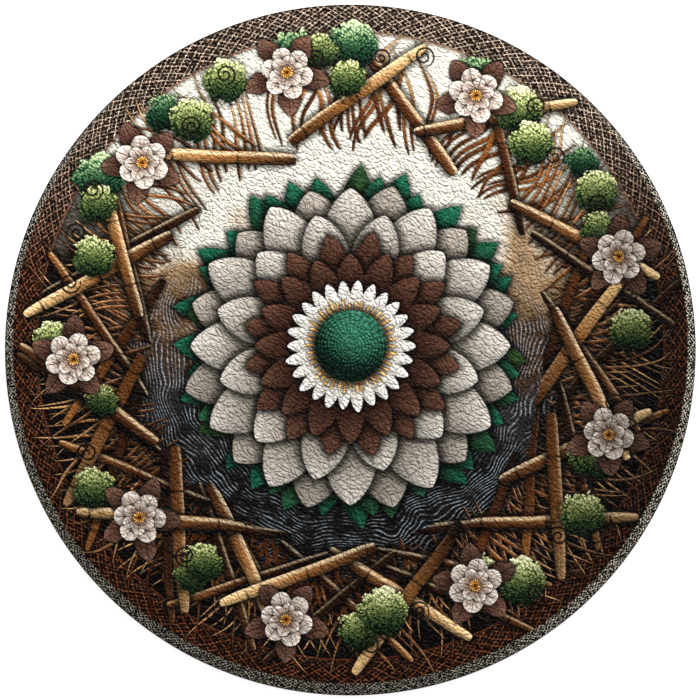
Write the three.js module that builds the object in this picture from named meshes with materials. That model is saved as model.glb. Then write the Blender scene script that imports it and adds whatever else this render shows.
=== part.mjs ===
// Round vinyl placemat: one flat disc, die-cut from a printed leather-look vinyl sheet.
//
// Millimetres, +Z up. The origin is the centre of the underside, so the mat lies on Z = 0.
// The printed face looks up, and +Y is the edge that lies furthest from the person at the table.
// The mat has no binding, hem, stitching or loose backing: the sheet itself is the whole object.
import * as THREE from 'three';

// Driving dimensions
const MAT_DIAMETER = 380;
const SHEET_THICKNESS = 2;
// The die presses the printed face over the cut a little, and leaves the back almost sharp
const FACE_EDGE_RADIUS = 0.6;
const BACK_EDGE_RADIUS = 0.2;
// The flat faces are ringed once inside the rim, so that no facet there is a long sliver
const INNER_RING_SHARE = 0.6;

// Fineness of the round
const RIM_STEPS = 180;
const FACE_EDGE_STEPS = 4;
const BACK_EDGE_STEPS = 2;

// Points of a quarter circle, in the plane of radius and height
function quarterRound(centreRadius, centreHeight, roundRadius, startAngle, steps) {
  const points = [];
  for (let step = 0; step <= steps; step += 1) {
    const angle = startAngle + (step / steps) * (Math.PI / 2);
    points.push(new THREE.Vector2(
      centreRadius + roundRadius * Math.cos(angle),
      centreHeight + roundRadius * Math.sin(angle),
    ));
  }
  return points;
}

// Half of the sheet's section, from the middle of the underside out and round to the middle of the face
function sheetSection() {
  const rimRadius = MAT_DIAMETER / 2;
  const ringRadius = rimRadius * INNER_RING_SHARE;
  return [
    new THREE.Vector2(0, 0),
    new THREE.Vector2(ringRadius, 0),
    ...quarterRound(rimRadius - BACK_EDGE_RADIUS, BACK_EDGE_RADIUS, BACK_EDGE_RADIUS,
      -Math.PI / 2, BACK_EDGE_STEPS),
    ...quarterRound(rimRadius - FACE_EDGE_RADIUS, SHEET_THICKNESS - FACE_EDGE_RADIUS,
      FACE_EDGE_RADIUS, 0, FACE_EDGE_STEPS),
    new THREE.Vector2(ringRadius, SHEET_THICKNESS),
    new THREE.Vector2(0, SHEET_THICKNESS),
  ];
}

// The dark printed vinyl, as one colour: its mean over the printed face
const printedVinyl = new THREE.MeshStandardMaterial({
  color: new THREE.Color(0.33, 0.27, 0.2),
  roughness: 0.55,
  metalness: 0,
});

// The mat itself. The section is turned about Y, so the disc is stood on +Z afterwards.
function makePlacemat() {
  const mat = new THREE.Mesh(new THREE.LatheGeometry(sheetSection(), RIM_STEPS), printedVinyl);
  mat.name = 'placemat';
  mat.rotation.x = Math.PI / 2;
  return mat;
}

const placematSet = new THREE.Group();
placematSet.add(makePlacemat());

export default placematSet;
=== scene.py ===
"""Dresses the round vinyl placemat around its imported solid.

The mat is one flat sheet of soft vinyl, die-cut to a disc. Its face is printed and embossed with a
leather grain, its cut edge shows the vinyl's own colour, and its back is plain. The print is drawn
here from a few kinds of stroke: straws, grass, leaves and petals, each laid over the last with its
own shading and shadow, as a painter would lay them. Inside the shaders all lengths are millimetres.
"""

from __future__ import annotations

import logging
import math
from collections.abc import Callable, Sequence
from dataclasses import dataclass, field, replace
from enum import Enum
from typing import Protocol

import bmesh
import bpy
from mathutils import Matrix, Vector

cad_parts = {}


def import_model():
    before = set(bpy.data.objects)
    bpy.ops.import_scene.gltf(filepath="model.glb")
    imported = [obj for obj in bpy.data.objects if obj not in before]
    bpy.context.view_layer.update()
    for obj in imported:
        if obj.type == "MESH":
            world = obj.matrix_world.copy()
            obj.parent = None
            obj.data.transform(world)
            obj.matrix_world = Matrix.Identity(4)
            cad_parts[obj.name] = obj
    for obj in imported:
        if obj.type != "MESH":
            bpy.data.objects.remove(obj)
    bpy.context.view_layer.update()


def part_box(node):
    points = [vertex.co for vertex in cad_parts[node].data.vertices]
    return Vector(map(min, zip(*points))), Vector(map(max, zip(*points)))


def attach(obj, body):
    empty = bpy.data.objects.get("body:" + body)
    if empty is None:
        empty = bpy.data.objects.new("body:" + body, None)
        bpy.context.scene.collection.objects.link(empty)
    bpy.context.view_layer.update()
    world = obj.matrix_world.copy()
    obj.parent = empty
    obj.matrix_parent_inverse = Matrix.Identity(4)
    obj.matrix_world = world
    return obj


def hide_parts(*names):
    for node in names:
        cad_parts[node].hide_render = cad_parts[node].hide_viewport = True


log = logging.getLogger("placemat")

Colour = tuple[float, float, float]
Stops = Sequence[tuple[float, Colour]]
Span = tuple[float, float]
MM = 0.001
TURN = 2.0 * math.pi

# The curve between light and a colour as seen on a screen: straight near black, then a power
SCREEN_TOP = 255.0
STRAIGHT_END = 0.04045
STRAIGHT_SLOPE = 12.92
CURVE_LIFT = 0.055
CURVE_POWER = 2.4

# Sockets of a Mix node that blends colours
MIX_BELOW = 6
MIX_ABOVE = 7
MIX_RESULT = 2

# The output of a noise node that gives a random colour
AS_COLOUR = 1

# How wide the waves are in which long strokes sway, in millimetres
SWAY_PITCH = 36.0

# How far aside a blade is moved to leave it out, in millimetres
OUT_OF_SIGHT = 60.0

# Sines of a blade's direction: from the first on some are left out, and from the second on the full share
THINNED = (0.0, 0.8)

# How soft the edge of a painted stroke is, in millimetres
SOFT_EDGE = 0.3

# Lengths below this aren't divided by, in millimetres
LEAST_RADIUS = 0.01
LEAST_HALF_WIDTH = 0.05
LEAST_REACH = 1.0

# How far apart the random draws of a motif's copies lie
TUFT_DRAWS = 60.0
RING_DRAWS = 97.0

# Places closer than this are the same, in metres
SAME_PLACE = 1e-5

# How steeply a face may lie and still belong to the flat back, or to the printed face
FLAT_NORMAL = 0.99
EDGE_NORMAL = 0.05

# Faces that meet at less than this shade as one, in radians
SMOOTH_ANGLE = math.radians(40.0)

# The bevel's profile that gives a round edge
ROUND_PROFILE = 0.5

# The middle of the map and the radii on it, as shares of its width
MAP_CENTRE = 0.5
FACE_MAP_RADIUS = 0.478
EDGE_MAP_RADIUS = 0.49
BACK_MAP_RADIUS = 0.0845

# The lamp's place and size in metres, its power in watts, and the even light from all round
KEY_LAMP_PLACE = (1.0, 2.7, 1.9)
KEY_LAMP_SIZE = 1.6
KEY_LAMP_POWER = 237.0
FILL_STRENGTH = 0.42

# The painted light falls on the motifs from above and a little to the right, as the real light does
LIGHT_X = 0.35
LIGHT_Y = 0.937

# The printed face's roughness on a plate of the grain, how much rougher a crease is, and its faint shine
FACE_ROUGHNESS = 0.42
CREASE_ROUGHNESS = 0.16
FACE_SPECULAR = 0.05

# The mean of the random colours
MIDDLE_COLOUR = (0.5, 0.5, 0.5)

# White, which is the vinyl under the print and the studio's light
WHITE = (1.0, 1.0, 1.0)

# Where the medallion ends, and where the wreath is at its full strength, in millimetres
MEDALLION_END = 106.0
WREATH_FULL = 128.0

# The die cut the sheet a little low, so the print's centre lies this far above the mat's own
PRINT_SHIFT_Y = 2.2


def ink(red: int, green: int, blue: int) -> Colour:
    """Turns a colour as seen, 0 to 255, into the linear light that shaders use.

    Args:
        red: Red as seen.
        green: Green as seen.
        blue: Blue as seen.

    Returns:
        The same colour as three linear numbers from 0 to 1.
    """

    def linear(seen: int) -> float:
        """Undoes the screen curve for one channel.

        Args:
            seen: The channel as seen, 0 to 255.

        Returns:
            The channel as light, 0 to 1.
        """
        share = seen / SCREEN_TOP
        if share <= STRAIGHT_END:
            return share / STRAIGHT_SLOPE
        return ((share + CURVE_LIFT) / (1.0 + CURVE_LIFT)) ** CURVE_POWER

    return linear(red), linear(green), linear(blue)


class Wire:
    """A shader socket, with Python's arithmetic where it carries a number."""

    def __init__(self, graph: Graph, socket: bpy.types.NodeSocket) -> None:
        """Keep the socket and the graph it belongs to."""
        self.graph = graph
        self.socket = socket

    def __add__(self, other: Number) -> Wire:
        """Sum. A product on the right takes this number in."""
        return other + self if isinstance(other, Product) else self.graph.math("ADD", self, other)

    __radd__ = __add__

    def __sub__(self, other: Number) -> Wire:
        """Difference. A product on the right takes this number in.

        Args:
            other: What is taken away.

        Returns:
            The difference.
        """
        if isinstance(other, Product):
            return other.taken_from(self)
        return self.graph.math("SUBTRACT", self, other)

    def __rsub__(self, other: float) -> Wire:
        """Difference, reflected."""
        return self.graph.math("SUBTRACT", other, self)

    def __mul__(self, other: Number) -> Wire:
        """Product."""
        return Product(self, other)

    __rmul__ = __mul__

    def __truediv__(self, other: Number) -> Wire:
        """Quotient."""
        return self.graph.math("DIVIDE", self, other)

    def __rtruediv__(self, other: Number) -> Wire:
        """Quotient, reflected."""
        return self.graph.math("DIVIDE", other, self)

    def __pow__(self, power: Number) -> Wire:
        """Power."""
        return self.graph.math("POWER", self, power)

    def __abs__(self) -> Wire:
        """Size without sign."""
        return self.graph.math("ABSOLUTE", self)

    def __mod__(self, whole: float) -> Wire:
        """Remainder that never goes below 0."""
        return self.graph.math("FLOORED_MODULO", self, whole)

    def off_whole(self) -> Wire:
        """How far the nearest whole number lies, from 0 to a half."""
        return self.graph.math("PINGPONG", self, 0.5)

    def rounded(self) -> Wire:
        """Nearest whole number."""
        return self.graph.math("ROUND", self)

    def root(self) -> Wire:
        """Square root, 0 below 0."""
        return self.graph.math("SQRT", self)

    def at_least(self, low: float) -> Wire:
        """The number, or low if it is less."""
        return self.graph.math("MAXIMUM", self, low)

    def at_most(self, high: float) -> Wire:
        """The number, or high if it is more."""
        return self.graph.math("MINIMUM", self, high)

    def rise(self, low: float, high: float) -> Wire:
        """A smooth step from 0 at low to 1 at high. It falls where low is the greater."""
        settings = {"interpolation_type": "SMOOTHSTEP"}
        return self.graph.node("ShaderNodeMapRange", settings, {0: self, 1: low, 2: high})

    def spread(self, reach: float, middle: Number = 0.0) -> Wire:
        """Spread a random number from 0 to 1 evenly to both sides of a middle.

        Args:
            reach: How far the result may lie from the middle.
            middle: Where the result lies for a half.

        Returns:
            The spread number.
        """
        if isinstance(middle, Wire):
            return (self - 0.5) * (2.0 * reach) + middle
        return self * (2.0 * reach) + (middle - reach)


Number = Wire | float
Paint = Wire | Colour


class Product(Wire):
    """A product without a node of its own until one is needed, so that a sum can take it in."""

    def __init__(self, wire: Wire, factor: Number) -> None:
        """Keep the two factors.

        Args:
            wire: The first factor.
            factor: The second factor.
        """
        self.graph = wire.graph
        self.wire = wire
        self.factor = factor
        self.made: bpy.types.NodeSocket | None = None

    @property
    def socket(self) -> bpy.types.NodeSocket:
        """The product's socket, whose node is made when it is first asked for.

        Returns:
            The socket.
        """
        if self.made is None:
            self.made = self.graph.math("MULTIPLY", self.wire, self.factor).socket
        return self.made

    def __add__(self, term: Number) -> Wire:
        """Sum, in one node with the product."""
        return self.graph.math("MULTIPLY_ADD", self.wire, self.factor, term)

    __radd__ = __add__

    def __sub__(self, term: Number) -> Wire:
        """Difference, in one node with the product where the term is plain."""
        return super().__sub__(term) if isinstance(term, Wire) else self + -term

    def __rsub__(self, term: float) -> Wire:
        """Difference, reflected."""
        return self.taken_from(term)

    def __mul__(self, other: Number) -> Wire:
        """Product. Two plain factors become one.

        Args:
            other: A further factor.

        Returns:
            The product of all three.
        """
        if isinstance(self.factor, Wire) or isinstance(other, Wire):
            return Product(self, other)
        return Product(self.wire, self.factor * other)

    __rmul__ = __mul__

    def taken_from(self, term: Number) -> Wire:
        """Take this product from a term, in one node where the second factor is plain.

        Args:
            term: What it is taken from.

        Returns:
            The difference.
        """
        if isinstance(self.factor, Wire):
            return self.graph.math("SUBTRACT", term, self)
        return self.graph.math("MULTIPLY_ADD", self.wire, -self.factor, term)


class Graph:
    """A node tree, built one node at a time."""

    def __init__(self, tree: bpy.types.NodeTree) -> None:
        """Start with the tree emptied."""
        self.tree = tree
        self.tree.nodes.clear()

    def add(self, kind: str, settings: dict, sockets: dict) -> bpy.types.Node:
        """Add a node.

        Args:
            kind: The node's type.
            settings: What is set on the node before its sockets. A ramp's stops are among them.
            sockets: Values or wires for its inputs, by place or name.

        Returns:
            The node.
        """
        # What feeds the node is made first, because the renderer runs short of room otherwise
        fed = {key: value.socket if isinstance(value, Wire) else value for key, value in sockets.items()}
        made = self.tree.nodes.new(kind)
        for key, value in settings.items():
            if key == "stops":
                self.set_stops(made.color_ramp.elements, value)
            else:
                setattr(made, key, value)
        for key, value in fed.items():
            self.feed(made.inputs[key], value)
        return made

    def node(self, kind: str, settings: dict, sockets: dict, out: int | str = 0) -> Wire:
        """Add a node, and return one of its outputs."""
        return Wire(self, self.add(kind, settings, sockets).outputs[out])

    def feed(self, socket: bpy.types.NodeSocket, value: object) -> None:
        """Link a wire or its socket to an input, or set the input's value.

        Args:
            socket: The input.
            value: A wire, a socket, a number, a colour or a vector.
        """
        if isinstance(value, Wire):
            value = value.socket
        if isinstance(value, bpy.types.NodeSocket):
            self.tree.links.new(value, socket)
        elif isinstance(value, tuple) and len(value) == 3 and socket.type == "RGBA":
            socket.default_value = (*value, 1.0)
        else:
            socket.default_value = value

    def math(self, operation: str, *values: Number) -> Wire:
        """Add a Math node for one operation on numbers."""
        return self.node("ShaderNodeMath", {"operation": operation}, dict(enumerate(values)))

    def bundle(self, x: Number, y: Number, z: Number = 0.0) -> Wire:
        """Join three numbers into a vector."""
        return self.node("ShaderNodeCombineXYZ", {}, {0: x, 1: y, 2: z})

    def parts(self, vector: Wire) -> tuple[Wire, Wire, Wire]:
        """Split a vector or a random colour into its three numbers."""
        outputs = self.add("ShaderNodeSeparateXYZ", {}, {0: vector}).outputs
        return Wire(self, outputs[0]), Wire(self, outputs[1]), Wire(self, outputs[2])

    def scaled(self, colour: Wire, factor: Number) -> Wire:
        """Multiply a colour or a vector by a number."""
        return self.node("ShaderNodeVectorMath", {"operation": "SCALE"}, {0: colour, "Scale": factor})

    def tinted(self, colour: Wire, tint: Paint) -> Wire:
        """Multiply a colour by another."""
        return self.node("ShaderNodeVectorMath", {"operation": "MULTIPLY"}, {0: colour, 1: tint})

    def mix(self, share: Number, below: Paint, above: Paint) -> Wire:
        """Blend two colours.

        Args:
            share: 0 for the first colour, 1 for the second.
            below: The first colour.
            above: The second colour.

        Returns:
            The blended colour.
        """
        sockets = {0: share, MIX_BELOW: below, MIX_ABOVE: above}
        return self.node("ShaderNodeMix", {"data_type": "RGBA"}, sockets, out=MIX_RESULT)

    def set_stops(self, elements: bpy.types.ColorRampElements, stops: Stops) -> None:
        """Give a colour ramp its stops.

        Args:
            elements: The ramp's own stops, of which it starts with two.
            stops: Places and their colours, in order.
        """
        while len(elements) < len(stops):
            elements.new(0.5)
        for element, (at, colour) in zip(elements, stops):
            element.position = at
            element.color = (*colour, 1.0)

    def ramp(self, place: Number, stops: Stops) -> Wire:
        """Read a colour from a row of stops, at a place from 0 to 1."""
        return self.node("ShaderNodeValToRGB", {"stops": stops}, {0: place})

    def noise(self, vector: Wire, pitch: float, detail: float = 1.0, out: int = 0) -> Wire:
        """Read soft noise.

        Args:
            vector: The place, in millimetres.
            pitch: The size of its largest lumps, in millimetres.
            detail: How many finer layers it has.
            out: 0 for a number about a half, AS_COLOUR for a random colour.

        Returns:
            The noise there.
        """
        sockets = {"Vector": vector, "Scale": 1.0 / pitch, "Detail": detail}
        return self.node("ShaderNodeTexNoise", {"noise_dimensions": "3D"}, sockets, out=out)

    def chance(self, seed: Number) -> tuple[Wire, Wire, Wire]:
        """Draw three numbers from 0 to 1, the same wherever the seed is the same."""
        settings = {"noise_dimensions": "1D"}
        return self.parts(self.node("ShaderNodeTexWhiteNoise", settings, {"W": seed}, out=AS_COLOUR))


class Surface(Graph):
    """A material's node tree, round its shader."""

    def __init__(self, name: str) -> None:
        """Start a material with nothing but its output and its shader.

        Args:
            name: The material's name.
        """
        self.material = bpy.data.materials.new(name)
        self.material.use_nodes = True
        super().__init__(self.material.node_tree)
        self.shader = self.add("ShaderNodeBsdfPrincipled", {}, {})
        self.add("ShaderNodeOutputMaterial", {}, {"Surface": Wire(self, self.shader.outputs[0])})


class Panel(Graph):
    """A node group that takes the print and a point, and gives the print with something laid on it."""

    def __init__(self, name: str) -> None:
        """Start a group with its sockets.

        Args:
            name: The group's name.
        """
        super().__init__(bpy.data.node_groups.new(name, "ShaderNodeTree"))
        interface = self.tree.interface
        interface.new_socket("Print", in_out="INPUT", socket_type="NodeSocketColor")
        interface.new_socket("X", in_out="INPUT", socket_type="NodeSocketFloat")
        interface.new_socket("Y", in_out="INPUT", socket_type="NodeSocketFloat")
        interface.new_socket("Print", in_out="OUTPUT", socket_type="NodeSocketColor")
        entry = self.add("NodeGroupInput", {}, {})
        self.taken = Wire(self, entry.outputs[0])
        self.x = Wire(self, entry.outputs[1])
        self.y = Wire(self, entry.outputs[2])

    def give(self, colour: Wire) -> None:
        """Hand the finished print out of the group."""
        self.add("NodeGroupOutput", {}, {0: colour})


@dataclass(frozen=True)
class Spot:
    """A point of the print as seen from a motif's centre, in millimetres and turns."""

    graph: Graph
    x: Wire
    y: Wire
    radius: Wire
    turn: Wire
    side_light: Wire

    @staticmethod
    def of(graph: Graph, x: Wire, y: Wire) -> Spot:
        """Work out the radius, the turn and how far a spoke's left side faces the painted light.

        Args:
            graph: The graph to build in.
            x: Millimetres to the right of the centre.
            y: Millimetres above the centre.

        Returns:
            The spot.
        """
        radius = graph.math("SQRT", graph.math("MULTIPLY_ADD", x, x, y * y))
        turn = graph.math("ARCTAN2", y, x) * (1.0 / TURN)
        facing = x * LIGHT_Y - y * LIGHT_X
        return Spot(graph, x, y, radius, turn, facing / radius.at_least(LEAST_RADIUS))

    def swayed(self, reach: float, pitch: float, seed: float) -> Spot:
        """The same spot on a sheet that has been pushed about a little.

        Args:
            reach: How far a point may be pushed, in millimetres.
            pitch: How wide the pushes are, in millimetres.
            seed: Picks one of many ways to push.

        Returns:
            The spot as moved.
        """
        graph = self.graph
        place = graph.bundle(self.x, self.y, seed)
        push_x, push_y, _ = graph.parts(graph.noise(place, pitch, detail=0.0, out=AS_COLOUR))
        return Spot.of(graph, push_x.spread(reach, self.x), push_y.spread(reach, self.y))


class Canvas:
    """The print as laid so far."""

    def __init__(self, graph: Graph, ground: Paint) -> None:
        """Start with a ground colour all over."""
        self.graph = graph
        self.colour = ground

    def lay(self, cover: Number, colour: Paint) -> None:
        """Lay a colour where cover is 1, and leave the print where it is 0."""
        self.colour = self.graph.mix(cover, self.colour, colour)

    def shade(self, amount: Number) -> None:
        """Darken the print by a share from 0 to 1."""
        self.colour = self.graph.scaled(self.colour, 1.0 - amount)

    def harden(self, power: Number, gain: Number) -> None:
        """Make the print's darks darker and its lights lighter."""
        hard = self.graph.node("ShaderNodeGamma", {}, {0: self.colour, 1: power})
        self.colour = self.graph.scaled(hard, gain)

    def add_panel(self, name: str, spot: Spot, paint: Callable[[Canvas, Spot], None]) -> None:
        """Lay something over the print from a node group of its own. Small trees are built much faster.

        Args:
            name: The group's name.
            spot: The point of the print.
            paint: What lays it, on the canvas and at the spot inside the group.
        """
        panel = Panel(name)
        inside = Canvas(panel, panel.taken)
        paint(inside, Spot.of(panel, panel.x, panel.y))
        panel.give(inside.colour)
        sockets = {0: self.colour, 1: spot.x, 2: spot.y}
        self.colour = self.graph.node("ShaderNodeGroup", {"node_tree": panel.tree}, sockets)


@dataclass(frozen=True)
class Stroke:
    """One blade's own coordinates at a point of the print."""

    across: Wire
    along: Wire
    light: Wire
    seed: Wire
    chance: tuple[Wire, Wire, Wire]


def thinned(graph: Graph, heading: Wire, chance: Wire, share: float) -> Wire:
    """Leave out some of the blades near the top of the print, where the haze shows through.

    Args:
        graph: The graph to build in.
        heading: The blade's direction from the print's centre, in radians.
        chance: A random number of the blade's own.
        share: The share of the blades that is left out at the very top.

    Returns:
        How far aside to move the blade: 0 where it stays.
    """
    missing = graph.math("SINE", heading).rise(*THINNED) * share
    return graph.math("LESS_THAN", chance, missing) * OUT_OF_SIGHT


@dataclass(frozen=True)
class Blade:
    """The outline of a straw, leaf or petal, in millimetres."""

    length: float
    half_width: float
    root_power: float = 0.6
    tip_power: float = 0.5
    ragged: float = 0.0
    ragged_pitch: float = 4.0
    ragged_across: float = 0.3

    def inside(self, graph: Graph, stroke: Stroke) -> tuple[Wire, Wire]:
        """Measure a point against the outline.

        Args:
            graph: The graph to build in.
            stroke: The point in the blade's own coordinates.

        Returns:
            How deep it lies inside the edge, in millimetres, and its share of the half width, signed.
        """
        widest = self.root_power / (self.root_power + self.tip_power)
        peak = widest**self.root_power * (1.0 - widest) ** self.tip_power
        half = (stroke.along**self.root_power) * ((1.0 - stroke.along) ** self.tip_power)
        half = half * (self.half_width / peak)
        if self.ragged:
            across = stroke.across * self.ragged_across
            place = graph.bundle(stroke.along * self.length, across, stroke.seed)
            half = half * graph.noise(place, self.ragged_pitch).spread(self.ragged, 1.0)
        beyond = (abs(stroke.along - 0.5) - 0.5).at_least(0.0) * self.length
        depth = half - abs(stroke.across) - beyond
        share = stroke.across / half.at_least(LEAST_HALF_WIDTH)
        return depth, share


@dataclass(frozen=True)
class Finish:
    """How a blade is painted: its colours from root to tip, and its modelling in light and dark.

    Pitches, widths and reaches are in millimetres. The strengths of light and dark are shares.
    """

    root: Colour
    middle: Colour
    tip: Colour
    dome: float = 0.35
    side: float = 0.25
    play: float = 0.25
    streaks: float = 0.25
    streak_pitch: float = 0.9
    streak_stretch: float = 14.0
    streak_reach: float = 1.5
    rib: float = 0.0
    rib_width: float = 0.5
    veins: float = 0.0
    vein_pitch: float = 3.0
    vein_slant: float = 0.9
    vein_line: float = 0.12
    knots: float = 0.0
    knot_count: float = 2.6
    knot_play: float = 3.0
    knot_line: float = 0.035
    outline: float = 0.6
    outline_width: float = 0.6
    outline_core: float = 0.1
    least_light: float = 0.03
    shadow: float = 0.55
    shadow_reach: float = 3.0
    glint: float = 0.0
    glint_ink: Colour = ink(250, 232, 198)
    glint_rise: Span = (0.1, 0.5)
    glint_fall: Span = (0.95, 0.6)
    glint_lit: Span = (0.5, 1.2)
    tint: Colour | None = None
    tint_draws: Span = (0.45, 1.0)

    def colour(self, graph: Graph, blade: Blade, stroke: Stroke, depth: Wire, share: Wire) -> Wire:
        """Work out the paint at a point of the blade.

        Args:
            graph: The graph to build in.
            blade: The blade's outline.
            stroke: The point in the blade's own coordinates.
            depth: How deep it lies inside the edge.
            share: Its share of the half width, signed.

        Returns:
            The colour there.
        """
        base = graph.ramp(stroke.along, [(0.0, self.root), (0.5, self.middle), (1.0, self.tip)])
        if self.tint is not None:
            base = graph.mix(stroke.chance[2].rise(*self.tint_draws), base, self.tint)
        tilt = share * stroke.light
        light = (1.0 - share * share).root() * self.dome + (1.0 - self.dome)
        light = stroke.chance[0].spread(self.play, tilt * self.side + light)
        if self.streaks:
            fine = stroke.across * (1.0 / self.streak_pitch)
            coarse = stroke.along * (blade.length / (self.streak_stretch * self.streak_pitch))
            streak = graph.noise(graph.bundle(fine, coarse, stroke.seed), 1.0, detail=2.0)
            light = streak.spread(self.streak_reach * self.streaks, light)
        if self.rib:
            light = light - abs(stroke.across).rise(self.rib_width, 0.0) * self.rib
        if self.veins:
            slant = stroke.along * blade.length - abs(stroke.across) * self.vein_slant
            line = (slant * (1.0 / self.vein_pitch)).off_whole()
            light = light - line.rise(self.vein_line, 0.0) * self.veins
        if self.knots:
            joint = (stroke.along * self.knot_count + stroke.chance[1] * self.knot_play).off_whole()
            light = light - joint.rise(self.knot_line, 0.0) * self.knots
        if self.outline:
            light = light * (1.0 - depth.rise(self.outline_width, self.outline_core) * self.outline)
        colour = graph.scaled(base, light.at_least(self.least_light))
        if self.glint:
            glow = tilt.rise(*self.glint_rise) * tilt.rise(*self.glint_fall) * light.rise(*self.glint_lit)
            colour = graph.mix(glow * self.glint, colour, self.glint_ink)
        return colour

    def lay(self, canvas: Canvas, blade: Blade, stroke: Stroke) -> None:
        """Lay one family of blades over the print, with the shadow that they cast.

        Args:
            canvas: The print.
            blade: The blades' outline.
            stroke: The point in the nearest blade's own coordinates.
        """
        depth, share = blade.inside(canvas.graph, stroke)
        if self.shadow:
            canvas.shade(depth.rise(-self.shadow_reach, SOFT_EDGE) * self.shadow)
        canvas.lay(depth.rise(0.0, SOFT_EDGE), self.colour(canvas.graph, blade, stroke, depth, share))


@dataclass(frozen=True)
class Ring:
    """Alike blades set round a centre like petals, each a little different.

    Each blade has a sector. The start, its play and the sway are in millimetres, the shift, the lean
    and the curl in sectors, and the twist in sectors a millimetre.
    """

    count: int
    start: float
    blade: Blade
    finish: Finish
    shift: float = 0.0
    lean: float = 0.0
    curl: float = 0.0
    length_play: float = 0.12
    start_play: float = 0.0
    twist: float = 0.0
    seed: float = 0.0
    sway: float = 0.0
    thin_above: float = 0.0

    def paint(self, canvas: Canvas, spot: Spot, own: Number = 0.0) -> None:
        """Lay the ring over the print.

        Args:
            canvas: The print.
            spot: The point as seen from the ring's centre.
            own: A number that sets this ring apart from its copies.
        """
        graph = canvas.graph
        if self.sway:
            spot = spot.swayed(self.sway, SWAY_PITCH, self.seed)
        sectors = spot.turn * float(self.count) + self.shift
        if self.twist:
            sectors = spot.radius * self.twist + sectors
        if isinstance(own, Wire):
            sectors = sectors + own
        nearest = sectors.rounded()
        seed = (nearest % float(self.count)) + self.seed
        if isinstance(own, Wire):
            seed = seed + own * RING_DRAWS
        chance = graph.chance(seed)
        run = self.blade.length * (1.0 - self.length_play * chance[1])
        begin = self.start + self.start_play * chance[2] if self.start_play else self.start
        along = (spot.radius - begin) / run
        offset = sectors - nearest
        if self.lean:
            offset = chance[2].spread(self.lean / 2, offset)
        if self.curl:
            bow = along * along * (chance[0] - 0.5)
            offset = bow * (2.0 * self.curl) + offset
        across = offset * spot.radius * (TURN / self.count)
        if self.thin_above:
            heading = (nearest - self.shift) * (TURN / self.count)
            across = across + thinned(graph, heading, chance[1], self.thin_above)
        stroke = Stroke(across, along, spot.side_light, seed, chance)
        self.finish.lay(canvas, self.blade, stroke)


@dataclass(frozen=True)
class Straws:
    """Straight straws that leave a circle along its tangents and cross the wreath.

    The touch is the circle's radius. It, the start and the sway are in millimetres, the lean is in
    sectors, and the touch's play and the slide are shares of the radius and of a straw's length.
    """

    count: int
    touch: float
    start: float
    blade: Blade
    finish: Finish
    clockwise: bool = False
    lean: float = 0.0
    seed: float = 0.0
    sway: float = 1.3
    touch_play: float = 0.03
    slide: float = 0.2
    thin_above: float = 0.0

    def paint(self, canvas: Canvas, spot: Spot) -> None:
        """Lay the straws over the print.

        Args:
            canvas: The print.
            spot: The point as seen from the print's centre.
        """
        graph = canvas.graph
        spot = spot.swayed(self.sway, SWAY_PITCH, self.seed)
        hand = -1.0 if self.clockwise else 1.0
        swing = graph.math("ARCCOSINE", (self.touch / spot.radius.at_least(LEAST_REACH)).at_most(1.0))
        sectors = (spot.turn - swing * (hand / TURN)) * float(self.count)
        nearest = sectors.rounded()
        seed = (nearest % float(self.count)) + self.seed
        chance = graph.chance(seed)
        heading = chance[2].spread(self.lean / 2, nearest) * (TURN / self.count)
        cosine = graph.math("COSINE", heading)
        sine = graph.math("SINE", heading)
        across = spot.x * cosine + spot.y * sine - chance[1].spread(self.touch_play, 1.0) * self.touch
        reach = (spot.y * cosine - spot.x * sine) * hand
        along = chance[0].spread(self.slide, (reach - self.start) * (1.0 / self.blade.length))
        if self.thin_above:
            middle = heading + hand * math.atan2(self.start + self.blade.length * 0.5, self.touch)
            across = across + thinned(graph, middle, chance[1], self.thin_above)
        light = cosine * LIGHT_X + sine * LIGHT_Y
        stroke = Stroke(across, along, light, seed, chance)
        self.finish.lay(canvas, self.blade, stroke)


class Motif(Protocol):
    """Something that can be laid round a centre of its own."""

    def paint(self, canvas: Canvas, spot: Spot, own: Wire) -> None:
        """Lay it over the print, as seen from its centre, by a random number of its own."""


@dataclass(frozen=True)
class Scatter:
    """Like motifs set on a circle, one to a sector, each moved a little.

    Places lower than the sine `lowest` are left empty.
    """

    motif: Motif
    count: int
    radius: float
    play: float = 4.0
    swing: float = 0.0
    shift: float = 0.0
    seed: float = 0.0
    lowest: float = -1.0

    def place(self, spot: Spot) -> tuple[Spot, Wire]:
        """Find the nearest place.

        Args:
            spot: The point as seen from the print's centre.

        Returns:
            The point as seen from that place, and a random number from 0 to 1 for it.
        """
        graph = spot.graph
        nearest = (spot.turn * float(self.count) + self.shift).rounded()
        chance = graph.chance((nearest % float(self.count)) + self.seed)
        heading = chance[2].spread(self.swing / 2, nearest - self.shift) * (TURN / self.count)
        out = chance[0].spread(self.play, self.radius)
        sine = graph.math("SINE", heading)
        if self.lowest > -1.0:
            out = out + graph.math("LESS_THAN", sine, self.lowest) * OUT_OF_SIGHT
        local_x = spot.x - graph.math("COSINE", heading) * out
        local_y = spot.y - sine * out
        return Spot.of(graph, local_x, local_y), chance[1]

    def paint(self, canvas: Canvas, spot: Spot) -> None:
        """Lay all the motifs over the print."""
        local, own = self.place(spot)
        self.motif.paint(canvas, local, own)


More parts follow.
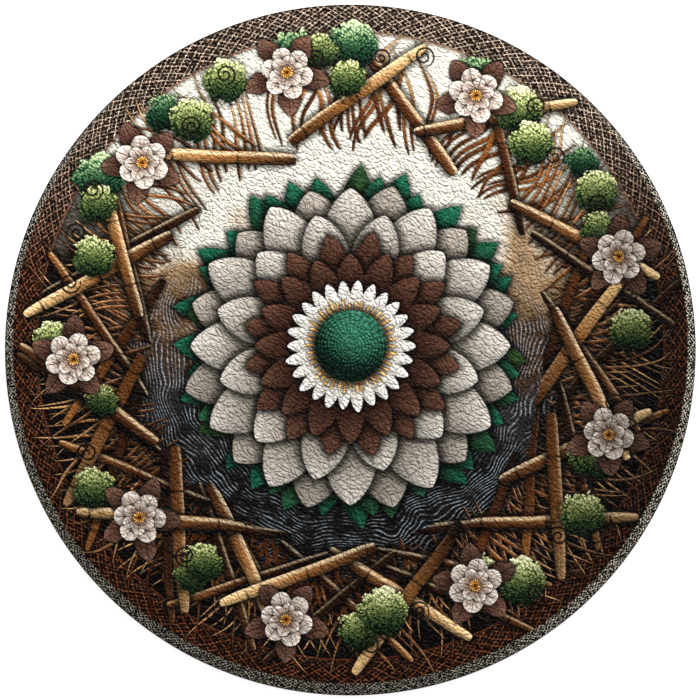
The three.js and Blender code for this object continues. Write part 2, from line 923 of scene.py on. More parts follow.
@dataclass(frozen=True)
class Tuft:
    """A rounded tuft of small leaves that fan out from its middle, light above and dark below.

    Sizes, pitches, depths and reaches are in millimetres. The ramp's places and the lights are shares.
    """

    size: float
    size_play: float = 0.25
    leaf: float = 1.9
    leaves_round: float = 46.0
    leaf_play: float = 0.8
    leaf_depth: float = 1.6
    leaf_shade: float = 0.62
    ragged: float = 4.5
    ragged_pitch: float = 5.0
    ragged_fan: float = 2.0
    ragged_light: float = 0.3
    light: float = 0.58
    light_play: float = 0.08
    light_above: float = 0.42
    shadow: float = 0.6
    shadow_reach: float = 4.0
    soft: float = 0.5
    places: tuple[float, ...] = (0.05, 0.28, 0.5, 0.74, 0.97)
    deep: Colour = ink(9, 17, 9)
    shade: Colour = ink(34, 58, 34)
    leafy: Colour = ink(84, 102, 60)
    lit: Colour = ink(174, 180, 122)
    bright: Colour = ink(236, 236, 200)

    def paint(self, canvas: Canvas, spot: Spot, own: Wire) -> None:
        """Lay the tuft over the print.

        Args:
            canvas: The print.
            spot: The point as seen from the tuft's middle.
            own: A number that sets this tuft apart from its copies.
        """
        graph = canvas.graph
        place = graph.bundle(spot.x, spot.y, own * TUFT_DRAWS)
        push = graph.noise(place, self.ragged_pitch, detail=2.0)
        round_it = spot.turn * self.leaves_round + push * self.ragged_fan
        outward = spot.radius * (1.0 / self.leaf) + push * self.ragged_fan
        settings = {"voronoi_dimensions": "2D", "feature": "F1"}
        sockets = {"Vector": graph.bundle(round_it, outward), "Scale": 1.0, "Randomness": self.leaf_play}
        leaves = graph.node("ShaderNodeTexVoronoi", settings, sockets)
        edge = own.spread(self.size_play, 1.0) * self.size + push.spread(self.ragged)
        depth = edge - leaves * self.leaf_depth - spot.radius
        lit = spot.y * (self.light_above / self.size) + own.spread(self.light_play, self.light)
        lit = lit - leaves * self.leaf_shade + push * self.ragged_light
        inks = (self.deep, self.shade, self.leafy, self.lit, self.bright)
        canvas.shade(depth.rise(-self.shadow_reach, self.soft) * self.shadow)
        canvas.lay(depth.rise(0.0, self.soft), graph.ramp(lit, list(zip(self.places, inks))))


DARK_TUFT = Tuft(
    size=13.0,
    ragged=6.0,
    deep=ink(5, 16, 11),
    shade=ink(14, 44, 33),
    leafy=ink(38, 82, 60),
    lit=ink(112, 144, 102),
    bright=ink(204, 216, 178),
)


@dataclass(frozen=True)
class Curl:
    """A fine scroll drawn as one winding line, in millimetres."""

    size: float = 6.5
    pitch: float = 3.0
    width: float = 0.42
    soft: float = 0.35
    end_soft: float = 0.8
    eye: Span = (0.6, 1.0)
    strength: float = 0.9
    colour: Colour = ink(34, 19, 14)

    def paint(self, canvas: Canvas, spot: Spot, own: Wire) -> None:
        """Draw the scroll over the print, wound either way.

        Args:
            canvas: The print.
            spot: The point as seen from the scroll's middle.
            own: A number that sets this scroll apart from its copies.
        """
        hand = canvas.graph.math("SIGN", own - 0.5)
        wind = (spot.radius * (1.0 / self.pitch) - spot.turn * hand + own).off_whole()
        line = wind.rise((self.width + self.soft) / self.pitch, self.width / self.pitch)
        within = spot.radius.rise(self.size, self.size - self.end_soft) * spot.radius.rise(*self.eye)
        canvas.lay(line * within * self.strength, self.colour)


@dataclass(frozen=True)
class Lattice:
    """A net of two families of slanting threads round the print, every second thread lighter.

    The depth of a mesh and the pitches are in millimetres. Widths and the wobble are shares of a mesh,
    and the core is a share of the thread.
    """

    meshes: int = 308
    mesh_depth: float = 2.375
    thread: float = 0.25
    thread_core: float = 0.4
    wobble: float = 0.5
    wobble_pitch: float = 3.2
    speck_pitch: float = 1.2
    speck_contrast: Span = (0.36, 0.64)
    grit: float = 0.6
    ground_grit: float = 0.4
    glow: float = 0.4
    glow_contrast: Span = (0.3, 0.7)
    lead: float = 0.5
    lead_width: Span = (0.3, 0.06)
    hollow: float = 0.5
    hollow_contrast: Span = (0.1, 1.0)
    ground_dark: Colour = ink(2, 1, 1)
    ground_light: Colour = ink(84, 62, 50)
    thread_dark: Colour = ink(56, 44, 36)
    thread_light: Colour = ink(216, 198, 178)
    seed: float = 2.0

    def colour(self, spot: Spot) -> Wire:
        """Work out the net's colour at a point.

        Args:
            spot: The point as seen from the print's centre.

        Returns:
            The colour there.
        """
        graph = spot.graph
        place = graph.bundle(spot.x, spot.y, self.seed)
        push_x, push_y, glow = graph.parts(graph.noise(place, self.wobble_pitch, out=AS_COLOUR))
        round_it = spot.turn * float(self.meshes) + push_x * self.wobble
        outward = spot.radius * (1.0 / self.mesh_depth) + push_y * self.wobble
        first = round_it + outward
        second = round_it - outward
        line = graph.math("MINIMUM", first.off_whole(), second.off_whole())
        leading = graph.math("MINIMUM", (first * 0.5).off_whole(), (second * 0.5).off_whole())
        speck = graph.noise(place, self.speck_pitch).rise(*self.speck_contrast) - 0.5
        shine = glow.rise(*self.glow_contrast) * self.glow + speck * self.grit
        shine = shine + leading.rise(*self.lead_width) * self.lead
        thread = graph.mix(shine.rise(0.0, 1.0), self.thread_dark, self.thread_light)
        half_thread = self.thread / 2
        mesh = line.rise(half_thread, 0.5) * self.hollow + (1.0 - self.hollow)
        dim = (speck + 0.5) * mesh + speck * (self.grit * self.ground_grit)
        ground = graph.mix(dim.rise(*self.hollow_contrast), self.ground_dark, self.ground_light)
        return graph.mix(line.rise(half_thread, half_thread * self.thread_core), ground, thread)


@dataclass(frozen=True)
class Ground:
    """What the picture stands on: pale haze above, brown at the sides, slate with fine lines below.

    Pitches and heights are in millimetres. The stops' places are shares of the fall.
    """

    stops: Stops = (
        (0.3, ink(24, 23, 23)),
        (0.42, ink(58, 56, 55)),
        (0.52, ink(80, 58, 38)),
        (0.62, ink(170, 142, 108)),
        (0.72, ink(226, 222, 210)),
    )
    fall: float = 330.0
    sway: float = 0.175
    sway_pitch: float = 34.0
    line: Colour = ink(154, 162, 168)
    line_pitch: float = 2.2
    line_sway: float = 13.0
    line_width: Span = (0.2, 0.03)
    line_shade: float = 0.5
    line_shade_width: Span = (0.42, 0.5)
    breaks: Span = (0.36, 0.6)
    break_pitch: float = 8.0
    lines_below: Span = (0.66, 0.5)
    seed: float = 4.0
    deep: Colour = ink(22, 13, 8)
    deep_out: Span = (132.0, 176.0)
    deep_down: Span = (165.0, 75.0)
    cloud_out: float = 60.0
    cloud_down: float = 80.0
    cloud_pitch: float = 22.0
    cloud_seed: float = 9.0

    def paint(self, canvas: Canvas, spot: Spot) -> None:
        """Lay the ground all over the print.

        Args:
            canvas: The print.
            spot: The point as seen from the print's centre.
        """
        graph = canvas.graph
        place = graph.bundle(spot.x, spot.y, self.seed)
        sway = graph.noise(place, self.sway_pitch, detail=2.0)
        height = spot.y * (1.0 / self.fall) + sway.spread(self.sway, 0.5)
        base = graph.ramp(height, self.stops)
        line = (spot.radius * (1.0 / self.line_pitch) + sway * self.line_sway).off_whole()
        broken = graph.noise(place, self.break_pitch, detail=2.0).rise(*self.breaks)
        broken = broken * height.rise(*self.lines_below)
        canvas.colour = graph.scaled(base, 1.0 - line.rise(*self.line_shade_width) * self.line_shade)
        canvas.lay(line.rise(*self.line_width) * broken, self.line)

    def paint_depth(self, canvas: Canvas, spot: Spot) -> None:
        """Darken the ground behind the wreath, except near the top.

        Args:
            canvas: The print.
            spot: The point as seen from the print's centre.
        """
        graph = canvas.graph
        cloud = graph.noise(graph.bundle(spot.x, spot.y, self.cloud_seed), self.cloud_pitch)
        far = (spot.radius + cloud * self.cloud_out).rise(*self.deep_out)
        canvas.lay(far * (spot.y + cloud * self.cloud_down).rise(*self.deep_down), self.deep)


# Inks of the medallion
TAUPE_PETAL = Finish(
    root=ink(56, 47, 39),
    middle=ink(146, 137, 125),
    tip=ink(218, 211, 201),
    dome=0.42,
    side=0.3,
    play=0.08,
    streaks=0.07,
    rib=0.16,
    rib_width=0.9,
    outline=0.8,
    outline_width=1.2,
    shadow=0.85,
    shadow_reach=8.0,
)
TAUPE_PETAL_BEHIND = replace(
    TAUPE_PETAL,
    root=ink(34, 28, 23),
    middle=ink(100, 91, 80),
    tip=ink(182, 173, 161),
    play=0.1,
    streaks=0.09,
    rib=0.0,
    shadow=0.8,
)
CHESTNUT_PETAL = Finish(
    root=ink(18, 8, 4),
    middle=ink(54, 30, 20),
    tip=ink(104, 73, 57),
    dome=0.4,
    side=0.4,
    play=0.14,
    streaks=0.5,
    streak_pitch=0.8,
    outline=0.8,
    outline_width=1.0,
    shadow=0.85,
    shadow_reach=6.0,
)
WHITE_PETAL = Finish(
    root=ink(120, 108, 96),
    middle=ink(220, 214, 205),
    tip=ink(246, 244, 239),
    dome=0.35,
    side=0.24,
    play=0.06,
    streaks=0.2,
    streak_pitch=0.7,
    outline=0.7,
    shadow=0.8,
    shadow_reach=4.0,
)
STAMEN = Finish(
    root=ink(96, 56, 22),
    middle=ink(196, 138, 66),
    tip=ink(244, 208, 140),
    dome=0.5,
    side=0.3,
    streaks=0.0,
    outline=0.5,
    outline_width=0.4,
    shadow=0.7,
    shadow_reach=1.6,
)
EMERALD_LEAF = Finish(
    root=ink(3, 22, 15),
    middle=ink(10, 56, 41),
    tip=ink(36, 108, 82),
    dome=0.4,
    side=0.4,
    play=0.24,
    streaks=0.14,
    rib=-0.5,
    rib_width=0.6,
    veins=0.3,
    vein_pitch=3.0,
    outline=0.8,
    shadow=0.75,
    shadow_reach=5.0,
    tint=ink(46, 70, 36),
)


@dataclass(frozen=True)
class Medallion:
    """The bloom in the middle of the print, with a green seed head for its heart, in millimetres."""

    rings: tuple[Ring, ...] = (
        Ring(20, 50.0, Blade(51.0, 9.5, 0.9, 0.85), EMERALD_LEAF, lean=0.3, curl=0.25, seed=3.0),
        Ring(20, 50.0, Blade(46.0, 9.5, 0.9, 0.85), EMERALD_LEAF, shift=0.5, lean=0.3, seed=5.0),
        Ring(12, 34.0, Blade(60.0, 16.0, 0.8, 0.72), TAUPE_PETAL_BEHIND, shift=0.5, seed=11.0),
        Ring(12, 32.0, Blade(58.0, 15.5, 0.8, 0.72), TAUPE_PETAL, length_play=0.06, seed=13.0),
        Ring(12, 28.0, Blade(48.0, 13.5, 0.8, 0.72), TAUPE_PETAL, shift=0.5, seed=17.0),
        Ring(16, 20.0, Blade(44.0, 9.0, 0.7, 0.7), CHESTNUT_PETAL, shift=0.5, seed=19.0),
        Ring(16, 18.0, Blade(37.0, 8.5, 0.7, 0.7), CHESTNUT_PETAL, seed=23.0),
        Ring(26, 15.0, Blade(22.0, 3.8, 0.6, 0.55), WHITE_PETAL, seed=29.0),
        Ring(44, 14.0, Blade(13.0, 0.9, 0.9, 0.25), STAMEN, lean=0.4, length_play=0.3, seed=31.0),
    )
    heart: float = 20.0
    heart_dark: Colour = ink(5, 30, 21)
    heart_lit: Colour = ink(84, 164, 132)
    heart_light: float = 0.75
    heart_tilt: float = 0.45
    heart_dome: float = 0.35
    heart_contrast: Span = (0.0, 1.1)
    heart_shadow: float = 0.75
    heart_shadow_reach: float = 4.0
    heart_soft: float = 0.4
    seeds_round: float = 34.0
    seeds_out: float = 0.55
    seeds_wound: float = 3.0
    seed_play: float = 0.1
    seed_shade: float = 0.8

    def paint(self, canvas: Canvas, spot: Spot) -> None:
        """Lay the bloom over the print, from its outermost leaves in.

        Args:
            canvas: The print.
            spot: The point as seen from the print's centre.
        """
        for number, ring in enumerate(self.rings):
            canvas.add_panel(f"bloom_{number}", spot, ring.paint)
        canvas.add_panel("bloom_heart", spot, self.paint_heart)

    def paint_heart(self, canvas: Canvas, spot: Spot) -> None:
        """Lay the seed head in the bloom's middle.

        Args:
            canvas: The print.
            spot: The point as seen from the print's centre.
        """
        graph = canvas.graph
        outward = spot.radius * self.seeds_out + spot.turn * self.seeds_wound
        settings = {"voronoi_dimensions": "2D", "feature": "F1"}
        sockets = {
            "Vector": graph.bundle(spot.turn * self.seeds_round, outward),
            "Scale": 1.0,
            "Randomness": self.seed_play,
        }
        seeds = graph.node("ShaderNodeTexVoronoi", settings, sockets)
        share = spot.radius * (1.0 / self.heart)
        tilt = (spot.x * LIGHT_X + spot.y * LIGHT_Y) * (1.0 / self.heart)
        light = tilt * self.heart_tilt + self.heart_light
        light = light - share * share * self.heart_dome - seeds * self.seed_shade
        depth = self.heart - spot.radius
        canvas.shade(depth.rise(-self.heart_shadow_reach, 0.0) * self.heart_shadow)
        colour = graph.mix(light.rise(*self.heart_contrast), self.heart_dark, self.heart_lit)
        canvas.lay(depth.rise(0.0, self.heart_soft), colour)


# Inks of the wreath
STRAW = Finish(
    root=ink(72, 40, 18),
    middle=ink(160, 116, 70),
    tip=ink(226, 196, 148),
    dome=0.4,
    side=0.85,
    play=0.12,
    streaks=0.34,
    streak_pitch=0.7,
    knots=0.6,
    outline=0.85,
    outline_width=0.7,
    shadow=0.75,
    shadow_reach=4.5,
    glint=0.6,
    tint=ink(110, 70, 36),
)
DARK_STRAW = replace(
    STRAW,
    root=ink(24, 12, 5),
    middle=ink(92, 55, 27),
    tip=ink(150, 106, 62),
    play=0.2,
    streaks=0.4,
    streak_pitch=0.8,
    knots=0.5,
    shadow=0.7,
    shadow_reach=4.0,
    glint=0.35,
    tint=ink(60, 36, 18),
)
GRASS = Finish(
    root=ink(72, 38, 14),
    middle=ink(146, 96, 50),
    tip=ink(224, 184, 130),
    dome=0.4,
    side=0.5,
    play=0.34,
    streaks=0.0,
    outline=0.4,
    outline_width=0.3,
    shadow=0.6,
    shadow_reach=1.4,
    glint=0.3,
    tint=ink(92, 52, 22),
)
LINE_PETAL = Finish(
    root=ink(66, 46, 36),
    middle=ink(170, 150, 137),
    tip=ink(236, 228, 218),
    dome=0.25,
    side=0.3,
    play=0.08,
    streaks=0.34,
    streak_pitch=1.1,
    rib=0.6,
    outline=0.95,
    outline_width=0.8,
    shadow=0.7,
    shadow_reach=2.5,
)
BROWN_LEAF = Finish(
    root=ink(34, 18, 12),
    middle=ink(86, 60, 48),
    tip=ink(140, 110, 94),
    dome=0.25,
    side=0.25,
    play=0.15,
    streaks=0.24,
    streak_pitch=1.2,
    rib=0.6,
    veins=0.4,
    vein_pitch=2.6,
    outline=0.9,
    outline_width=1.0,
    shadow=0.7,
    shadow_reach=2.5,
)


@dataclass(frozen=True)
class Blossom:
    """A small blossom with brown leaves behind it."""

    rows: tuple[Ring, ...] = (
        Ring(5, 4.0, Blade(21.0, 6.6, 0.8, 0.7, ragged=0.3), BROWN_LEAF, seed=89.0),
        Ring(6, 1.0, Blade(14.5, 6.2, 0.8, 0.4, ragged=0.2), LINE_PETAL, seed=97.0),
        Ring(6, 1.0, Blade(9.0, 4.0, 0.8, 0.4), LINE_PETAL, shift=0.5, seed=101.0),
        Ring(14, 0.0, Blade(3.6, 0.6, 0.9, 0.3), STAMEN, seed=103.0),
    )

    def paint(self, canvas: Canvas, spot: Spot, own: Wire) -> None:
        """Lay the leaves, the two rows of petals and the stamens."""
        for row in self.rows:
            row.paint(canvas, spot, own)


# Long fine grass that leans, bends and winds outwards, and thins out near the top
GRASS_RING = Ring(
    count=200,
    start=107.0,
    blade=Blade(74.0, 1.2, 0.3, 0.7),
    finish=GRASS,
    lean=0.5,
    curl=0.5,
    length_play=0.3,
    start_play=12.0,
    twist=0.07,
    seed=61.0,
    sway=9.0,
    thin_above=0.6,
)
GRASS_RING_OVER = replace(
    GRASS_RING,
    count=180,
    start=108.0,
    blade=Blade(70.0, 1.2, 0.3, 0.7),
    curl=0.6,
    length_play=0.4,
    start_play=18.0,
    twist=-0.08,
    seed=67.0,
)

# Straws that cross each other: two rows of thin dark ones under two rows of thick light ones
THIN_STRAWS = Straws(22, 104.0, 40.0, Blade(98.0, 3.0, 0.1, 0.16), DARK_STRAW, lean=0.5, thin_above=0.8)
THICK_STRAWS = Straws(12, 100.0, 46.0, Blade(92.0, 4.0, 0.1, 0.16), STRAW, lean=0.4, thin_above=0.5)


@dataclass(frozen=True)
class Wreath:
    """Crossed straws, grass, leaf tufts, scrolls and small blossoms round the medallion."""

    grass: tuple[Ring, ...] = (GRASS_RING, GRASS_RING_OVER)
    straws: tuple[Straws, ...] = (
        replace(THIN_STRAWS, seed=41.0),
        replace(
            THIN_STRAWS,
            count=20,
            touch=106.0,
            start=38.0,
            blade=Blade(94.0, 3.0, 0.1, 0.16),
            clockwise=True,
            seed=43.0,
        ),
        replace(THICK_STRAWS, seed=47.0),
        replace(THICK_STRAWS, count=11, touch=108.0, start=40.0, clockwise=True, seed=53.0),
    )
    ornaments: tuple[Scatter, ...] = (
        Scatter(DARK_TUFT, 17, 164.0, play=3.0, swing=0.5, seed=77.0, lowest=0.5),
        Scatter(Tuft(12.5), 12, 158.0, play=5.0, swing=0.4, seed=71.0),
        Scatter(Tuft(12.5), 10, 145.0, play=7.0, swing=0.4, shift=0.5, seed=73.0),
        Scatter(Curl(), 34, 158.0, play=13.0, swing=0.4, seed=79.0),
        Scatter(Blossom(), 9, 152.0, play=5.0, swing=0.2, shift=0.5, seed=83.0),
    )

    def paint(self, canvas: Canvas, spot: Spot) -> None:
        """Lay the wreath over the print, from its deepest blades up."""
        for number, layer in enumerate((*self.grass, *self.straws, *self.ornaments)):
            canvas.add_panel(f"wreath_{number}", spot, layer.paint)


@dataclass(frozen=True)
class Border:
    """The printed diamond band, and the finer net that covers its rim, except near the top.

    Places and widths are in millimetres.
    """

    band_start: float = 172.5
    net_start: float = 185.6
    edge_start: float = 188.9
    band: Lattice = Lattice()
    net: Lattice = Lattice(
        meshes=460,
        mesh_depth=1.65,
        thread=0.28,
        wobble=0.8,
        grit=1.5,
        speck_pitch=0.9,
        ground_dark=ink(1, 0, 0),
        ground_light=ink(74, 62, 48),
        thread_dark=ink(20, 14, 10),
        thread_light=ink(255, 248, 228),
    )
    band_shadow: float = 0.6
    band_shadow_reach: float = 3.0
    net_light: float = 0.3
    net_light_above: float = 0.25
    net_above: Span = (-130.0, 60.0)
    net_light_right: float = 0.22
    net_right: Span = (40.0, 140.0)
    net_gone_above: Span = (150.0, 90.0)
    edge_dark: float = 0.6
    edge_soft: float = 0.7
    low_tint: Colour = (0.48, 0.25, 0.15)
    tinted_below: Span = (130.0, 30.0)
    cord: Colour = ink(150, 124, 106)
    cord_width: float = 0.3
    line_soft: float = 0.4

    def paint_band(self, canvas: Canvas, spot: Spot) -> None:
        """Lay the diamond band and its inner cord, under what overlaps them.

        Args:
            canvas: The print.
            spot: The point as seen from the print's centre.
        """
        graph = canvas.graph
        inner = spot.radius - self.band_start
        canvas.shade(inner.rise(-self.band_shadow_reach, 0.0) * self.band_shadow)
        tint = graph.mix(spot.y.rise(*self.tinted_below), WHITE, self.low_tint)
        canvas.lay(inner.rise(-SOFT_EDGE, SOFT_EDGE), graph.tinted(self.band.colour(spot), tint))
        line = abs(inner).rise(self.cord_width + self.line_soft, self.cord_width)
        canvas.lay(line, graph.tinted(tint, self.cord))

    def paint_net(self, canvas: Canvas, spot: Spot) -> None:
        """Lay the net at the rim, over everything, and the dark line along the cut.

        Args:
            canvas: The print.
            spot: The point as seen from the print's centre.
        """
        graph = canvas.graph
        cover = spot.radius.rise(self.net_start - self.line_soft, self.net_start + self.line_soft)
        cover = cover * spot.y.rise(*self.net_gone_above)
        light = spot.y.rise(*self.net_above) * self.net_light_above
        light = light + spot.x.rise(*self.net_right) * self.net_light_right + self.net_light
        canvas.lay(cover, graph.scaled(self.net.colour(spot), light))
        on_mat = Spot.of(graph, spot.x, spot.y + PRINT_SHIFT_Y)
        canvas.shade(on_mat.radius.rise(self.edge_start, self.edge_start + self.edge_soft) * self.edge_dark)


@dataclass(frozen=True)
class LeatherGrain:
    """The pebbled grain pressed into the printed face: plates, pebbles on them and fine wrinkles.

    Sizes and the pushes' pitches and reaches are in millimetres, and creases are shares of a cell.
    """

    plate: float = 4.6
    plate_crease: float = 0.2
    plate_share: float = 0.42
    pebble: float = 2.3
    pebble_crease: float = 0.36
    pebble_share: float = 0.46
    wrinkle: float = 0.65
    wrinkle_share: float = 0.45
    wrinkle_detail: float = 1.5
    pushes: tuple[Span, ...] = ((9.0, 5.0), (2.4, 1.5))
    run: float = math.radians(-37.0)
    stretch: float = 1.38
    relief: float = 1.1
    # How much darker a crease is printed: painted shade in the creases, together with the thinner ink that
    # lies there
    crease_shade_and_ink_loss: float = 0.2
    speck: float = 0.65
    speck_play: float = 0.55
    speck_seed: float = 50.0
    wreath_press: float = 0.7
    rim_press: float = 0.35
    rim: Span = (168.0, 184.0)

    def press(self, spot: Spot) -> Wire:
        """Work out how deep the grain is pressed: full in the medallion and least at the rim.

        Args:
            spot: The point as seen from the print's centre.

        Returns:
            The depth as a share of the relief.
        """
        wreath_loss = spot.radius.rise(MEDALLION_END, WREATH_FULL) * (1.0 - self.wreath_press)
        rim_loss = spot.radius.rise(*self.rim) * (self.wreath_press - self.rim_press)
        return 1.0 - wreath_loss - rim_loss

    def height(self, graph: Graph, x: Wire, y: Wire) -> Wire:
        """Work out the grain's height.

        Args:
            graph: The graph to build in.
            x: Millimetres to the right.
            y: Millimetres away from the diner.

        Returns:
            The height, about 0 in a crease and 1 on a plate.
        """
        along = x * (math.cos(self.run) / self.stretch) + y * (math.sin(self.run) / self.stretch)
        across = y * math.cos(self.run) - x * math.sin(self.run)
        place = graph.bundle(along, across)
        for pitch, reach in self.pushes:
            place = self.pushed(graph, place, pitch, reach)
        plates = self.cells(graph, place, self.plate).rise(0.0, self.plate_crease)
        pebbles = self.cells(graph, place, self.pebble).rise(0.0, self.pebble_crease)
        wrinkles = graph.noise(place, self.wrinkle, self.wrinkle_detail)
        return plates * self.plate_share + pebbles * self.pebble_share + wrinkles * self.wrinkle_share

    def specks(self, graph: Graph, x: Wire, y: Wire) -> Wire:
        """How thick the ink lies, about 1: it takes unevenly on the fine tooth."""
        fine = graph.noise(graph.bundle(x, y, self.speck_seed), self.speck)
        return fine.spread(self.speck_play, 1.0)

    def pushed(self, graph: Graph, place: Wire, pitch: float, reach: float) -> Wire:
        """Move a place about at random.

        Args:
            graph: The graph to build in.
            place: The place, as a vector.
            pitch: How wide the pushes are.
            reach: How far apart two pushes may lie.

        Returns:
            The place as moved.
        """
        push = graph.noise(place, pitch, out=AS_COLOUR)
        centred = graph.node("ShaderNodeVectorMath", {"operation": "SUBTRACT"}, {0: push, 1: MIDDLE_COLOUR})
        moved = graph.scaled(centred, reach)
        return graph.node("ShaderNodeVectorMath", {"operation": "ADD"}, {0: place, 1: moved})

    def cells(self, graph: Graph, place: Wire, pitch: float) -> Wire:
        """Measure how far a place lies from the crease round its cell.

        Args:
            graph: The graph to build in.
            place: The place, as a vector.
            pitch: The size of a cell.

        Returns:
            The distance as a share of the pitch.
        """
        settings = {"voronoi_dimensions": "2D", "feature": "DISTANCE_TO_EDGE"}
        sockets = {"Vector": place, "Scale": 1.0 / pitch, "Randomness": 1.0}
        return graph.node("ShaderNodeTexVoronoi", settings, sockets)


class PrintedFace:
    """The material of the printed, grained face."""

    def __init__(self, name: str, grain: LeatherGrain) -> None:
        """Start the material and find the point of the print.

        Args:
            name: The material's name.
            grain: The grain pressed into the face.
        """
        self.graph = Surface(name)
        self.grain = grain
        coordinates = self.graph.node("ShaderNodeTexCoord", {}, {}, out="Object")
        self.x, self.y, _ = self.graph.parts(self.graph.scaled(coordinates, 1.0 / MM))
        self.spot = Spot.of(self.graph, self.x, self.y - PRINT_SHIFT_Y)

    def finish(self, canvas: Canvas) -> bpy.types.Material:
        """Press the grain into the finished print, with painted shade in its creases, and set the vinyl's
        gloss.

        Args:
            canvas: The print.

        Returns:
            The material.
        """
        graph = self.graph
        inputs = graph.shader.inputs
        press = self.grain.press(self.spot)
        height = self.grain.height(graph, self.x, self.y) * press
        crease = press - height
        # Darken the creases: painted shade, together with the ink that lies thinner there
        canvas.shade(crease * self.grain.crease_shade_and_ink_loss)
        canvas.colour = graph.scaled(canvas.colour, self.grain.specks(graph, self.x, self.y))
        graph.feed(inputs["Base Color"], canvas.colour)
        graph.feed(inputs["Roughness"], crease * CREASE_ROUGHNESS + FACE_ROUGHNESS)
        graph.feed(inputs["Specular IOR Level"], FACE_SPECULAR)
        relief = {"Strength": 1.0, "Distance": self.grain.relief * MM, "Height": height}
        graph.feed(inputs["Normal"], graph.node("ShaderNodeBump", {}, relief))
        return graph.material


@dataclass(frozen=True)
class Tone:
    """How the finished picture darkens downwards and to the right, and how hard its contrast is.

    Places are in millimetres from the print's centre, from where the dark starts to where it is full.
    """

    below: float = 0.28
    below_fall: Span = (90.0, -110.0)
    right: float = 0.5
    right_rise: Span = (70.0, 175.0)
    right_fall: Span = (150.0, 40.0)
    inner_power: float = 1.12
    inner_gain: float = 1.08
    outer_power: float = 1.3
    outer_gain: float = 1.25

    def settle(self, canvas: Canvas, spot: Spot) -> None:
        """Darken and harden the picture, more in the wreath than in the medallion.

        Args:
            canvas: The print.
            spot: The point as seen from the print's centre.
        """
        canvas.shade(spot.y.rise(*self.below_fall) * self.below)
        canvas.shade(spot.x.rise(*self.right_rise) * spot.y.rise(*self.right_fall) * self.right)
        outer = spot.radius.rise(MEDALLION_END, WREATH_FULL)
        power = outer * (self.outer_power - self.inner_power) + self.inner_power
        gain = outer * (self.outer_gain - self.inner_gain) + self.inner_gain
        canvas.harden(power, gain)


def medallion_face(grain: LeatherGrain) -> bpy.types.Material:
    """Print the middle of the face.

    Args:
        grain: The grain pressed into it.

    Returns:
        The material.
    """
    face = PrintedFace("printed_medallion", grain)
    canvas = Canvas(face.graph, WHITE)
    canvas.add_panel("ground", face.spot, Ground().paint)
    Medallion().paint(canvas, face.spot)
    Tone().settle(canvas, face.spot)
    return face.finish(canvas)


def wreath_face(grain: LeatherGrain) -> bpy.types.Material:
    """Print the outer part of the face.

    Args:
        grain: The grain pressed into it.

    Returns:
        The material.
    """
    face = PrintedFace("printed_wreath", grain)
    spot = face.spot
    border = Border()
    canvas = Canvas(face.graph, WHITE)
    canvas.add_panel("ground", spot, Ground().paint)
    canvas.add_panel("ground_depth", spot, Ground().paint_depth)
    canvas.add_panel("band", spot, border.paint_band)
    Wreath().paint(canvas, spot)
    Tone().settle(canvas, spot)
    canvas.add_panel("net", spot, border.paint_net)
    return face.finish(canvas)


@dataclass(frozen=True)
class PlainVinyl:
    """The finish of the vinyl where nothing is printed on it. Pitches and relief are in millimetres."""

    name: str
    body: Colour
    fleck: Colour
    fleck_pitch: float
    roughness: float
    relief: float
    fleck_share: float = 0.7
    fleck_detail: float = 3.0
    cloud_pitch: float = 40.0
    cloud_detail: float = 2.0
    contrast: Span = (0.3, 0.7)
    roughness_play: float = 0.16

    def material(self) -> bpy.types.Material:
        """Make the material: a plain colour with fine flecks and a fine tooth.

        Returns:
            The material.
        """
        graph = Surface(self.name)
        inputs = graph.shader.inputs
        coordinates = graph.node("ShaderNodeTexCoord", {}, {}, out="Object")
        place = graph.scaled(coordinates, 1.0 / MM)
        fleck = graph.noise(place, self.fleck_pitch, self.fleck_detail)
        cloud = graph.noise(place, self.cloud_pitch, self.cloud_detail).rise(*self.contrast)
        shade = fleck.rise(*self.contrast) * self.fleck_share + cloud * (1.0 - self.fleck_share)
        graph.feed(inputs["Base Color"], graph.mix(shade, self.body, self.fleck))
        graph.feed(inputs["Roughness"], fleck * self.roughness_play + self.roughness)
        relief = {"Strength": 1.0, "Distance": self.relief * MM, "Height": fleck}
        graph.feed(inputs["Normal"], graph.node("ShaderNodeBump", {}, relief))
        return graph.material


CUT_EDGE = PlainVinyl(
    name="cut_edge",
    body=ink(92, 84, 76),
    fleck=ink(128, 118, 106),
    fleck_pitch=0.35,
    roughness=0.5,
    relief=0.03,
)
PLAIN_BACK = PlainVinyl(
    name="plain_back",
    body=ink(74, 66, 58),
    fleck=ink(96, 87, 77),
    fleck_pitch=0.9,
    roughness=0.55,
    relief=0.08,
)


class Zone(Enum):
    """The parts of the sheet's skin, by material slot."""

    MEDALLION = 0
    WREATH = 1
    EDGE = 2
    BACK = 3


